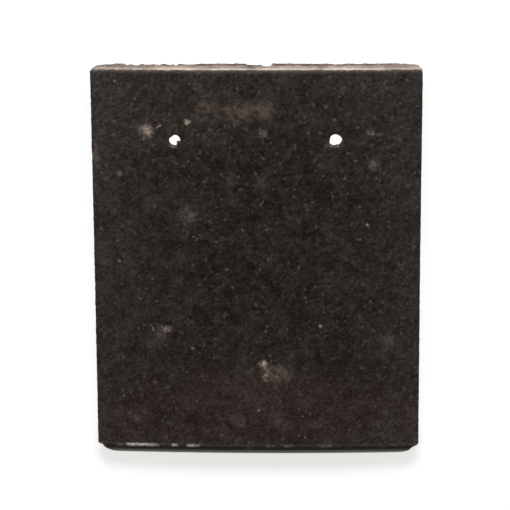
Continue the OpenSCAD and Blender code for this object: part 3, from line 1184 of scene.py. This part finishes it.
def floor_finish(settings):
    """The floor: pale and matt to the light, and to the camera an even white part with a part
    that takes the light, which holds the shadow. It is plain white far off. Where it shows through
    the nail holes it is plain white, and close beside the tile nearly so: painted light laid over
    the tile's shadow there."""
    board = Board(bpy.data.materials.new("pale_floor"))
    board.owner.cycles.emission_sampling = "NONE"
    grey = settings.shade
    matt, shade = (
        board.out("ShaderNodeBsdfDiffuse", None, {"Color": (*tint, 1)})
        for tint in (settings.floor, (grey, grey, grey * SHADE_BLUE))
    )
    glow, white = (
        board.out("ShaderNodeEmission", None, {"Color": tint, "Strength": strength})
        for tint, strength in ((GLOW_TINT, settings.glow), (WHITE, 1.0))
    )
    look = board.out("ShaderNodeAddShader", None, {"Shader": shade, "Shader_001": glow})
    at = board.place()
    x, y, _ = board.split(at)
    holes = strongest([board.spot(at, place, (SEEN_REACH, SEEN_REACH)) for place in SEEN])
    bounds = ((x.size(), BESIDE_ACROSS), (y, BESIDE_ALONG))
    beside = reduce(Term.__mul__, [way.between(*ends) for way, pair in bounds for ends in pair])
    far = (x * x + y * y).between(*FAR)
    # white far off, and painted light over the tile's shadow under the nail holes and beside the
    # tile
    whiter = holes.between(0.0, 0.2).most(beside * BESIDE).most(far)
    look = board.mixed(whiter, look, white)
    return board.finish(board.mixed(seen(board), matt, look))


def backdrop(settings):
    """The world: white where it is seen, and the ambient level as light."""
    board = Board(bpy.data.worlds.new("backdrop"))
    strength = seen(board) * (1 - settings.ambient) + settings.ambient
    sky = board.out("ShaderNodeBackground", None, {"Color": WHITE, "Strength": strength})
    return board.finish(sky, "ShaderNodeOutputWorld")


# ---------------------------------------------------------------- operators


class PLAINTILE_OT_tile(bpy.types.Operator):
    """Makes the tile over its solid, with its wear and its finish"""

    bl_idname = "plaintile.tile"
    bl_label = "Make the tile"
    bl_options = {"REGISTER", "UNDO"}

    def execute(self, context):
        scene, wear = context.scene, context.scene.tile_wear
        form = Form(scene.tile_sizes)
        places, round_to, faces = tile_mesh(form, wear)
        if 2 * len(faces) >= MOST_TRIANGLES:
            raise RuntimeError(f"the tile has {2 * len(faces)} triangles")
        points = worn(form, wear, places, round_to, faces)
        marks = {"round_to": round_to, "bore": hole_mark(form, places, round_to)}
        piece = closed_mesh("sand_faced_tile", points, faces, marks)
        piece.data.materials.append(TileFinish(form, wear, scene.tile_colours).material())
        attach(piece, "root")
        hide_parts("roof_tile")
        return {"FINISHED"}


class PLAINTILE_OT_stage(bpy.types.Operator):
    """Sets the camera, the lamp, the floor and the backdrop"""

    bl_idname = "plaintile.stage"
    bl_label = "Set the stage"
    bl_options = {"REGISTER", "UNDO"}

    def camera(self, settings, middle):
        """Puts the camera at its distance and its lean, aims it, and turns it by its roll."""
        camera = bpy.data.objects.new("camera", bpy.data.cameras.new("camera"))
        away, lean = settings.distance, settings.lean
        camera.location = middle + Vector(
            (settings.aside, away * math.sin(lean), away * math.cos(lean))
        )
        back = camera.location - middle - Vector((settings.aim_x, settings.aim_y, 0))
        back.normalize()
        flat, roll = Vector((0, 1, 0)).cross(back).normalized(), settings.roll
        right = flat * math.cos(roll) + back.cross(flat) * math.sin(roll)
        camera.rotation_euler = Matrix((right, back.cross(right), back)).transposed().to_euler()
        camera.data.lens = settings.lens
        camera.data.sensor_width = SENSOR
        camera.data.clip_end = SIGHT
        bpy.context.scene.collection.objects.link(camera)
        bpy.context.scene.camera = camera

    def floor(self, settings):
        """Lays the floor, a square of even grid."""
        x, y = np.meshgrid(*[np.linspace(-FLOOR_REACH, FLOOR_REACH, FLOOR_LINES)] * 2)
        points = np.stack([x, y, np.full_like(x, -FLOOR_DROP)], -1).reshape(-1, 3)
        quads = cells(np.arange(len(points)).reshape(x.shape)).reshape(-1, 4)
        floor = closed_mesh("floor", points, quads, {})
        floor.data.materials.append(floor_finish(settings))

    def lamp(self, settings, middle):
        """Hangs the lamp at its distance, rise and swing from the middle, and faces it there."""
        rise, swing = settings.key_rise, settings.key_swing
        toward = Vector(
            (math.cos(rise) * math.sin(swing), math.cos(rise) * math.cos(swing), math.sin(rise))
        )
        place = settings.key_away * toward
        data = bpy.data.lights.new("key", "AREA")
        data.shape = "RECTANGLE"
        data.size, data.size_y = KEY_SIZE
        data.energy = settings.key
        lamp = bpy.data.objects.new("key", data)
        lamp.location = place
        lamp.rotation_euler = (middle - place).to_track_quat("-Z", "Y").to_euler()
        lamp.visible_camera = False
        bpy.context.scene.collection.objects.link(lamp)

    def execute(self, context):
        scene, settings = context.scene, context.scene.tile_stage
        scene.view_settings.view_transform = "Standard"
        middle = Vector((0, *Form(scene.tile_sizes).shift))
        self.camera(settings, middle)
        self.floor(settings)
        self.lamp(settings, middle)
        scene.world = backdrop(settings)
        return {"FINISHED"}


class PLAINTILE_PT_panel(bpy.types.Panel):
    """Lists the tile's steps and its settings"""

    bl_idname = "PLAINTILE_PT_panel"
    bl_label = "Plain tile"
    bl_space_type = "VIEW_3D"
    bl_region_type = "UI"
    bl_category = "Plain tile"

    def draw(self, context):
        layout = self.layout
        for step in STEPS:
            layout.operator(step.bl_idname)
        for name, group in SETTINGS.items():
            box = layout.box()
            box.label(text=group.__doc__)
            for prop in group.__annotations__:
                box.prop(getattr(context.scene, name), prop)


STEPS = (PLAINTILE_OT_stage, PLAINTILE_OT_tile)
SETTINGS = {
    "tile_sizes": TileSizes,
    "tile_wear": TileWear,
    "tile_colours": TileColours,
    "tile_stage": StageSettings,
}
CLASSES = (*SETTINGS.values(), *STEPS, PLAINTILE_PT_panel)


def register():
    for one in CLASSES:
        bpy.utils.register_class(one)
    for name, group in SETTINGS.items():
        setattr(bpy.types.Scene, name, PointerProperty(type=group))


def unregister():
    for name in SETTINGS:
        delattr(bpy.types.Scene, name)
    for one in reversed(CLASSES):
        bpy.utils.unregister_class(one)


def main():
    """Registers the classes and runs the steps in order."""
    register()
    bpy.ops.plaintile.stage()
    bpy.ops.plaintile.tile()


if __name__ == "__main__":
    main()
